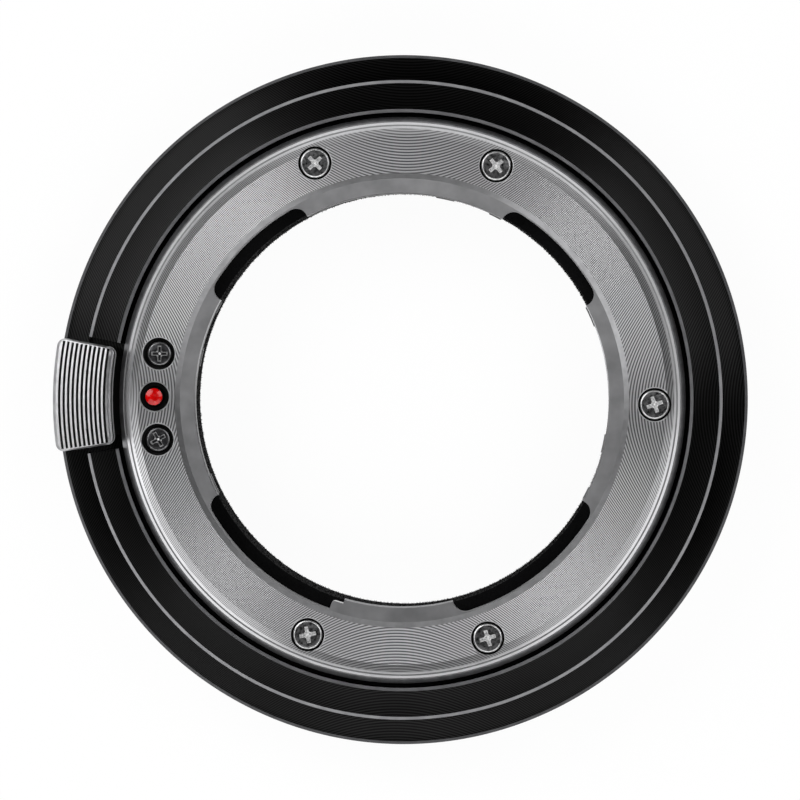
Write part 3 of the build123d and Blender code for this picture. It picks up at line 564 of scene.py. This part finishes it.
paint(flange, SATIN_CHROME,
      (TURNED_CHROME, lambda c, n: n.z > 0.95 and c.z > 7.6 and SEAT_IN_R < radius_of(c) < 26.05),
      (BRIGHT_EDGE, lambda c, n: sloped(n)),
      (STEP_CHROME, lambda c, n: sloped(n) and GAP_R < radius_of(c) < SEAT_IN_R),
      (SLOPE_CHROME, lambda c, n: sloped(n) and on_slope(c)),
      # painted highlight on the chamfers of the holes
      (HOLE_EDGE_HIGHLIGHT, lambda c, n: sloped(n) and c.z > 7.66 and 22.5 < radius_of(c) < 26.0),
      # painted shade, dark grey, on the inner walls of the tabs
      (SHADED_CHROME_WALL, lambda c, n: upright(n) and radius_of(c) < THROAT_R + 0.05),
      # painted shade, near black, on the walls and floors of the counterbores
      (SHADE_BLACK, lambda c, n: in_hole(c, n) or n.z > 0.9 and c.z < 7.0))
hand_over(flange, "adapter", "turned_chrome", "lens_flange")


# Screws

def cross_cutter(span, arm, depth):
    """Cross recess with tapered arms and a pointed middle, its mouth at z 0."""
    rise = 0.3
    arms = []
    for turn in (0.0, 90.0):
        bar = box("bar", (span, arm, depth + rise), (0, 0, (rise - depth) / 2))
        pick(bar, "FACE", lambda c, n: n.z < -0.9)
        bpy.ops.transform.resize(value=(0.72, 0.45, 1))
        bpy.ops.object.mode_set(mode="OBJECT")
        arms.append(place(bar, turn=turn))
    clear_selection()
    bpy.ops.mesh.primitive_cone_add(vertices=16, radius1=0.0, radius2=arm * 0.75, depth=depth * 1.6)
    point = place(named("point"), (0, 0, -depth * 0.8 + 0.02))
    return cut_away(arms[0], arms[1], point, keep="UNION")


def screw_set(name, outline, places, circle, face_z, recess, finishes, tip=0.0):
    """One screw is turned, given its cross recess and painted, then copied to every place."""
    def sunk(c):
        return 0.004 < abs(c.z - face_z) < 0.7

    first = turn_ring("screw", outline, HOLE_STEPS)
    cut_away(first, place(cross_cutter(*recess), (0, 0, face_z), tip=tip))
    rim, face, wall, floor = finishes
    paint(first, rim,
          (face, lambda c, n: abs(c.z - face_z) < 0.004),
          (wall, lambda c, n: abs(n.z) < 0.95 and radius_of(c) < recess[0] / 2 and sunk(c)),
          (floor, lambda c, n: abs(n.z) > 0.95 and sunk(c)))
    screws = [first] + [copy_of(first) for _ in range(len(places) - 1)]
    for screw, (angle, turn) in zip(screws, places.items()):
        place(screw, polar(circle, angle), turn)
    return join(screws, name)


# A recess is given by its span, the width of an arm and its depth, and a screw's finishes are those of its
# rim, its face and the recess's wall and floor. The recess's colours are painted light and shade: painted
# highlight on the walls and on the bright screws' floors, painted shade on the guide screws' floors
FLANGE_HEAD_Z, GUIDE_HEAD_Z, REAR_HEAD_Z = 7.68, 7.05, 0.05
BRIGHT_SCREW = (BRIGHT_NICKEL, SMUDGED_NICKEL, RECESS_HIGHLIGHT_WHITE, RECESS_HIGHLIGHT_GREY)
DARK_SCREW = (DARK_NICKEL, DARK_FACE_AND_SHADE, RECESS_HIGHLIGHT_GREY, DARK_FACE_AND_SHADE)
screws = screw_set("flange_screw_set", [
    (0, 3.4), (0.8, 3.4), (0.8, 6.88), (1.45, 6.88), (1.45, 7.53), (1.42, 7.61), (1.35, 7.66),
    (1.28, FLANGE_HEAD_Z), (0, FLANGE_HEAD_Z),
], FLANGE_SCREWS, SCREW_CIRCLE_R, FLANGE_HEAD_Z, (1.9, 0.52, 0.3), BRIGHT_SCREW)
hand_over(screws, "adapter", "bright_screw", "flange_screws")
screws = screw_set("guide_screw_set", [
    (0, 1.4), (0.6, 1.4), (0.6, 6.45), (1.22, 6.45), (1.22, 6.87), (1.17, 6.98), (1.02, GUIDE_HEAD_Z),
    (0, GUIDE_HEAD_Z),
], GUIDE_SCREWS, PIN_CIRCLE_R, GUIDE_HEAD_Z, (1.85, 0.52, 0.28), DARK_SCREW)
hand_over(screws, "adapter", "dark_screw", "guide_screws")
screws = screw_set("rear_screw_set", [
    (0, REAR_HEAD_Z), (1.18, REAR_HEAD_Z), (1.25, 0.12), (0.7, 0.65), (0.7, 3.2), (0, 3.2),
], REAR_SCREWS, REAR_SCREW_CIRCLE_R, REAR_HEAD_Z, (1.4, 0.4, 0.3), BRIGHT_SCREW, tip=180)
hand_over(screws, "adapter", "bright_screw", "rear_screws")

# Lock pin in its bush, with a drop of enamel in its cupped tip
PIN_AT = polar(PIN_CIRCLE_R, LOCK_AT)
CUP_Z = 8.45
DROP_HALF, DROP_RISE, DROP_TOP_Z, DROP_STEPS = 0.83, 0.18, 8.78, 8
bush = place(turn_ring("pin_bush_ring", [
    (0.97, BOSS_Z), (1.42, BOSS_Z), (1.42, 7.7), (1.38, 7.74), (1.04, 7.74), (0.97, 7.67),
], HOLE_STEPS), PIN_AT)
paint(bush, BLACK_STEEL)
hand_over(bush, "adapter", "black_steel", "pin_bush")
pin = place(turn_ring("lock_pin_shaft", [
    (0, 4.2), (0.7, 4.2), (0.7, 5.3), (0.92, 5.3), (0.92, 8.54), (0.88, 8.6), (0.84, 8.6),
    (0.84, CUP_Z), (0, CUP_Z),
], HOLE_STEPS), PIN_AT)
paint(pin, BLACK_STEEL)
hand_over(pin, "release", "pin_steel", "lens_lock_pin")
dome_r = (DROP_HALF**2 + DROP_RISE**2) / (2 * DROP_RISE)
drop = [(0, CUP_Z), (DROP_HALF, CUP_Z)]
for i in range(DROP_STEPS, -1, -1):
    a = math.asin(DROP_HALF / dome_r) * i / DROP_STEPS
    drop.append((dome_r * math.sin(a), DROP_TOP_Z - dome_r * (1 - math.cos(a))))
enamel = place(turn_ring("pin_enamel_drop", drop, HOLE_STEPS), PIN_AT)
paint(enamel, RED_ENAMEL)
hand_over(enamel, "release", "red_enamel", "pin_index_enamel", sharp=50.0)

# Release grip: a block with rounded corners, its top drawn in and raised so that a bevel runs round it
GRIP_IN_R, GRIP_OUT_R = 28.8, 34.61
GRIP_IN_Z, GRIP_OUT_Z = 7.3, 6.2
GRIP_FALL = (GRIP_IN_Z - GRIP_OUT_Z) / (GRIP_OUT_R - GRIP_IN_R)
GRIP_FLOOR_Z = 5.3
GRIP_BEVEL = 0.3
GRIP_CORNER = 0.8
GRIP_HALF = 9.5             # half its width, in degrees
GRIP_ENDS = (LOCK_AT - GRIP_HALF, LOCK_AT + GRIP_HALF)
FOOT_R = 28.7
RIB_START, RIB_PITCH, RIB_COUNT = 29.43, 0.452, 11
RIB_SHORT = 0.42            # grooves stop this far from the grip's ends, in degrees
# One groove, as distances from its middle and from the top of the grip
GROOVE_SHAPE = ((-0.13, 0.3), (-0.13, 0.03), (-0.08, -0.25), (0.08, -0.25), (0.13, 0.03), (0.13, 0.3))


def grip_top(radius):
    return GRIP_IN_Z - (radius - GRIP_IN_R) * GRIP_FALL


grip = turn_sector("grip_block", [
    (GRIP_IN_R, GRIP_FLOOR_Z), (GRIP_IN_R, GRIP_IN_Z - GRIP_BEVEL), (GRIP_OUT_R, GRIP_OUT_Z - GRIP_BEVEL),
    (GRIP_OUT_R, 4.61), (STEP_R, 5.75), (STEM_R, 5.75), (STEM_R, GRIP_FLOOR_Z),
], *GRIP_ENDS, 9)
for radius in (GRIP_IN_R, GRIP_OUT_R):
    round_corners(grip, radius, GRIP_ENDS, GRIP_CORNER)
pick(grip, "FACE", lambda c, n: n.z > 0.9)
bpy.ops.mesh.inset(thickness=0.14, depth=0.0)
bpy.ops.transform.translate(value=(0, 0, GRIP_BEVEL))
bpy.ops.transform.resize(value=(0.906, 1, 1), center_override=(-32.77, 0, 0))
bpy.ops.object.mode_set(mode="OBJECT")
foot = turn_sector("grip_foot", rectangle(FOOT_R, 30.0, GRIP_FLOOR_Z, 5.55), *GRIP_ENDS, 9)
round_corners(foot, FOOT_R, GRIP_ENDS, GRIP_CORNER)
cut_away(grip, foot, keep="UNION")

# Eleven grooves on the top and a lower one before them, on the inner bevel
grooves = []
for i in range(-1, RIB_COUNT):
    r = RIB_START + i * RIB_PITCH
    z = grip_top(r) - (0.2 if i < 0 else 0)
    outline = [(r + side, z + height - side * GRIP_FALL) for side, height in GROOVE_SHAPE]
    grooves.append(turn_sector("groove", outline, GRIP_ENDS[0] + RIB_SHORT, GRIP_ENDS[1] - RIB_SHORT, 12))
cut_away(grip, join(grooves, "grooves"))
bpy.ops.object.mode_set(mode="EDIT")
tidy_mesh()


def in_groove(c):
    return (0.08 < grip_top(radius_of(c)) - c.z < 0.3 and RIB_START - 0.14 < radius_of(c) < 34.1
            and abs(angle_of(c) - LOCK_AT) < GRIP_HALF - 0.41)


paint(grip, GRIP_CHROME,
      # worn metal on the grip's bevels, painted lighter as highlight
      (WORN_EDGE_AND_HIGHLIGHT, lambda c, n: sloped(n) and not 29.25 < radius_of(c) < 34.25),
      # painted shade, near black, in the grooves and on the inner wall
      (SHADE_BLACK, lambda c, n: in_groove(c) or upright(n) and radius_of(c) < 29.0 and c.z > 5.6))
hand_over(grip, "release", "grip_chrome", "release_grip")

# Throat liner, with flock standing on its bore and on its lip. Real flock is far finer and denser, so the
# fibres are drawn as thick as they need to be to show
TUBE_R = 20.7
TUBE_END_Z = -5.3
TUBE_OUT_R = 21.25
LIP_OUT_R = 22.17
FIBRE_LENGTH, FIBRE_ROOT_R, FIBRE_TIP_R = 0.1, 0.03, 0.008
FIBRES_PER_MM2 = 12.0
ROOT_Z = LIP_Z - FIBRE_LENGTH
liner = turn_ring("flock_liner_tube", [
    (TUBE_R, TUBE_END_Z), (TUBE_OUT_R, TUBE_END_Z), (TUBE_OUT_R, SHELF_Z), (LIP_OUT_R, SHELF_Z),
    (LIP_OUT_R, ROOT_Z), (TUBE_R, ROOT_Z),
])
# The faces that the fibres grow from are made apart, because a spun ring has its faces in another order on
# each run, and the fibres would move with it
clear_selection()
bpy.ops.mesh.primitive_cylinder_add(vertices=RING_STEPS, radius=TUBE_R, depth=ROOT_Z - TUBE_END_Z,
                                    end_fill_type="NOTHING")
bore = named("bore")
bpy.ops.object.mode_set(mode="EDIT")
bpy.ops.mesh.flip_normals()
place(bore, (0, 0, (ROOT_Z + TUBE_END_Z) / 2))
clear_selection()
bpy.ops.mesh.primitive_cone_add(vertices=RING_STEPS, radius1=LIP_OUT_R, radius2=TUBE_R, depth=0.0,
                                end_fill_type="NOTHING")
carrier = join([place(named("lip"), (0, 0, ROOT_Z)), bore], "carrier")
clear_selection()
bpy.ops.mesh.primitive_cone_add(vertices=3, radius1=FIBRE_ROOT_R, radius2=FIBRE_TIP_R, depth=FIBRE_LENGTH,
                                end_fill_type="NOTHING", location=(0, 0, FIBRE_LENGTH / 2))
fibre = named("fibre")
bpy.ops.object.transform_apply(location=True, rotation=True, scale=True)
growth = bpy.data.node_groups.new("flock_growth", "GeometryNodeTree")
growth.interface.new_socket("Geometry", in_out="INPUT", socket_type="NodeSocketGeometry")
growth.interface.new_socket("Geometry", in_out="OUTPUT", socket_type="NodeSocketGeometry")
source = add_node(growth, "NodeGroupInput")
spots = add_node(growth, "GeometryNodeDistributePointsOnFaces",
                 {"Mesh": source.outputs[0], "Density": FIBRES_PER_MM2, "Seed": 4})
blade = add_node(growth, "GeometryNodeObjectInfo", {"Object": fibre})
tilt = add_node(growth, "FunctionNodeRandomValue", {0: (-0.5, -0.5, 0.0), 1: (0.5, 0.5, 6.3), "Seed": 5},
                data_type="FLOAT_VECTOR")
stance = add_node(growth, "FunctionNodeRotateRotation", {0: spots.outputs["Rotation"], 1: tilt.outputs[0]},
                  rotation_space="LOCAL")
length = add_node(growth, "FunctionNodeRandomValue", {2: 0.55, 3: 1.35, "Seed": 6}, data_type="FLOAT")
stand = add_node(growth, "GeometryNodeInstanceOnPoints", {
    "Points": spots.outputs["Points"], "Instance": blade.outputs["Geometry"],
    "Rotation": stance.outputs[0], "Scale": length.outputs[1],
})
real = add_node(growth, "GeometryNodeRealizeInstances", {0: stand.outputs[0]})
add_node(growth, "NodeGroupOutput", {0: real.outputs[0]})
make_active(carrier)
grow = carrier.modifiers.new("grow", "NODES")
grow.node_group = growth
bpy.ops.object.modifier_apply(modifier=grow.name)
bpy.data.objects.remove(fibre)
liner = join([liner, carrier], "flock_liner_tube")
paint(liner, BLACK_FLOCK)
hand_over(liner, "adapter", "black_flock", "flocked_liner")

# Camera-side bayonet: a plate with a spigot, four lugs on it, screw holes and the camera's lock hole
SPIGOT_R = 23.98
LUG_IN_R, LUG_OUT_R = 23.6, 25.73
LUG_HALF = 20               # in degrees
HOLE_LOW_Z, HOLE_HIGH_Z = -1, 2
rear = turn_ring("camera_bayonet_plate", [
    (BORE_R, -5.25), (21.43, SPIGOT_END_Z), (23.58, SPIGOT_END_Z), (SPIGOT_R, -5.0), (SPIGOT_R, 0.2),
    (26.08, 0.2), (26.08, 0.08), (26.16, 0.0), (30.85, 0.0), (31.0, 0.15), (31.0, PLATE_TOP_Z),
    (BORE_R, PLATE_TOP_Z),
])


def outer_rim(a, b):
    return abs(a.z - b.z) < 0.01 and min(radius_of(a), radius_of(b)) > LUG_OUT_R - 0.03


for middle in (45.0, 135.0, 225.0, 315.0):
    lug = turn_sector("lug", rectangle(LUG_IN_R, LUG_OUT_R, -3.2, -1.7),
                      middle - LUG_HALF, middle + LUG_HALF, 24)
    pick(lug, "EDGE", outer_rim)
    bpy.ops.mesh.bevel(offset=0.15, segments=2, affect="EDGES")
    tidy_mesh()
    cut_away(rear, lug, keep="UNION")
drill(rear, REAR_SCREWS, REAR_SCREW_CIRCLE_R, [
    (0, HOLE_LOW_Z), (1.35, HOLE_LOW_Z), (1.35, -0.02), (1.27, 0.06), (0.72, 0.65), (0.72, HOLE_HIGH_Z),
    (0, HOLE_HIGH_Z),
])
drill(rear, (240.0,), 28.6, [
    (0, HOLE_LOW_Z), (1.42, HOLE_LOW_Z), (1.42, -0.02), (1.3, 0.1), (1.3, HOLE_HIGH_Z), (0, HOLE_HIGH_Z),
])
paint(rear, SATIN_CHROME,
      (TURNED_CHROME, lambda c, n: n.z < -0.95 and c.z > -0.1 and radius_of(c) > 26.1),
      (BRIGHT_EDGE, lambda c, n: sloped(-n)))
hand_over(rear, "adapter", "turned_chrome", "rear_bayonet")

# Coil spring under the pin, which shortens as the grip is pressed
WIRE_R, COIL_R = 0.15, 0.95
COIL_START_Z = 1.37
COIL_PITCH = 0.665
COIL_TURNS = 4
clear_selection()
bpy.ops.mesh.primitive_circle_add(vertices=10, radius=WIRE_R, location=(COIL_R, 0, COIL_START_Z),
                                  rotation=(math.pi / 2, 0, 0))
spring = named("lock_spring_coil")
bpy.ops.object.transform_apply(location=True, rotation=True, scale=True)
coil = spring.modifiers.new("coil", "SCREW")
coil.screw_offset = COIL_PITCH
coil.iterations = COIL_TURNS
coil.steps = 28
coil.use_merge_vertices = True
coil.merge_threshold = MERGE_AT
bpy.ops.object.modifier_apply(modifier=coil.name)
bpy.ops.object.mode_set(mode="EDIT")
bpy.ops.mesh.select_all(action="SELECT")
bpy.ops.mesh.fill_holes(sides=12)
tidy_mesh()
place(spring, PIN_AT)
paint(spring, SPRING_STEEL)
hand_over(spring, "adapter", "spring_steel", "lock_spring")
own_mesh(spring)

# Red dot sunk in the rim, the index mark for the camera
dot = turn_ring("index_dot_fill", [(0, -0.5), (0.5, -0.5), (0.5, -0.07), (0.4, -0.04), (0, -0.03)],
                HOLE_STEPS)
place(dot, (0, BODY_R, DOT_Z), tip=-90)
paint(dot, RED_ENAMEL)
hand_over(dot, "adapter", "red_enamel", "index_bead")

# Finishes of the CAD pieces that stay
CAD_FINISHES = {
    "guide_sleeves": SPRING_STEEL,
    "release_arm": BLACK_STEEL,
    "grip_screws": DARK_NICKEL,
    "leaf_spring_right": SPRING_STEEL,
    "leaf_spring_top": SPRING_STEEL,
    "leaf_spring_left": SPRING_STEEL,
}
for node, material in CAD_FINISHES.items():
    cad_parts[node].data.materials.clear()
    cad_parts[node].data.materials.append(material)

# White paper under the part. It shows almost white to the camera and in the metal, and keeps the shadow
FLOOR_DROP = 0.02           # just clear of the spigot
FLOOR_GLOW = 0.95
clear_selection()
bpy.ops.mesh.primitive_circle_add(vertices=96, radius=2.0, fill_type="NGON",
                                  location=(0, 0, (SPIGOT_END_Z - FLOOR_DROP) * MM))
floor = named("floor")
bpy.ops.object.transform_apply(location=True, rotation=True, scale=True)
material, tree, shader = new_finish("white_paper", base_color=linear("#f4f4f4"), roughness=0.9)
rays = add_node(tree, "ShaderNodeLightPath").outputs
seen = add_node(tree, "ShaderNodeMath", {0: rays["Is Camera Ray"], 1: rays["Is Glossy Ray"]},
                operation="MAXIMUM").outputs[0]
seen = add_node(tree, "ShaderNodeMath", {0: seen, 1: rays["Is Transmission Ray"]},
                operation="MAXIMUM").outputs[0]
share = add_node(tree, "ShaderNodeMath", {0: seen, 1: FLOOR_GLOW}, operation="MULTIPLY").outputs[0]
glow = add_node(tree, "ShaderNodeEmission", {"Color": (1, 1, 1, 1), "Strength": 1.0}).outputs[0]
both = add_node(tree, "ShaderNodeMixShader", {0: share, 1: shader.outputs[0], 2: glow}).outputs[0]
tree.links.new(both, tree.nodes["Material Output"].inputs["Surface"])
floor.data.materials.append(material)

# The studio is dark round the lights, and white only where the camera looks straight at it
world = bpy.data.worlds.new("studio")
bpy.context.scene.world = world
world.use_nodes = True
rays = add_node(world.node_tree, "ShaderNodeLightPath").outputs
level = add_node(world.node_tree, "ShaderNodeMapRange",
                 {"Value": rays["Is Camera Ray"], "To Min": 0.02, "To Max": 1.0}).outputs[0]
background = world.node_tree.nodes["Background"]
background.inputs["Color"].default_value = linear("#ffffff")
world.node_tree.links.new(level, background.inputs["Strength"])


def softbox(name, azimuth, tilt, width, height, radiance, distance=0.7):
    """Soft light aimed at the object, its tilt counted from straight above. Lengths are in metres."""
    light = bpy.data.lights.new(name, "AREA")
    light.shape = "RECTANGLE"
    light.size = width
    light.size_y = height
    light.energy = radiance * math.pi * width * height
    lamp = bpy.data.objects.new(name, light)
    bpy.context.scene.collection.objects.link(lamp)
    a = math.radians(azimuth)
    t = math.radians(tilt)
    lamp.location = Vector((math.sin(t) * math.cos(a), math.sin(t) * math.sin(a), math.cos(t))) * distance
    lamp.rotation_euler = lamp.location.to_track_quat("Z", "Y").to_euler()
    lamp.visible_camera = False


# Four large lights make the fans on turned metal. Low cards light the walls and bevels
softbox("softbox_upper_left", 145, 42, 0.46, 0.4, 4.8)
softbox("softbox_lower_left", 243, 42, 0.46, 0.45, 2.3)
softbox("softbox_lower_right", 294, 42, 0.46, 0.45, 2.3)
softbox("softbox_right", 29, 36, 0.38, 0.36, 3.6)
softbox("softbox_top", 90, 7, 0.36, 0.22, 0.55, 1.0)
softbox("card_left", 190, 80, 0.2, 0.28, 0.9)
softbox("card_lower_left", 217, 80, 0.65, 0.28, 1.1)
softbox("card_lower_right", 326, 80, 0.75, 0.28, 0.9)
softbox("card_upper", 82, 80, 1.2, 0.28, 0.5)

# Camera almost straight above, a little to the right and up, and rolled by less than a degree
FOCAL_LENGTH, SENSOR_WIDTH = 224.9, 36.0
CAMERA_AT = (11.0, 6.6, 500.0)
CAMERA_AIM = (-0.17, 0.05, SEAT_Z)
CAMERA_ROLL = 0.9
camera = bpy.data.cameras.new("camera")
camera.lens = FOCAL_LENGTH
camera.sensor_width = SENSOR_WIDTH
camera.clip_start = 0.01
camera.clip_end = 20.0
eye = bpy.data.objects.new("camera", camera)
bpy.context.scene.collection.objects.link(eye)
spot = Vector(CAMERA_AT) * MM
roll = math.radians(CAMERA_ROLL)
back = (spot - Vector(CAMERA_AIM) * MM).normalized()
right = Vector((-math.sin(roll), math.cos(roll), 0)).cross(back).normalized()
up = back.cross(right)
eye.matrix_world = Matrix.Translation(spot) @ Matrix((right, up, back)).transposed().to_4x4()
bpy.context.scene.camera = eye
bpy.context.scene.view_settings.view_transform = "Standard"
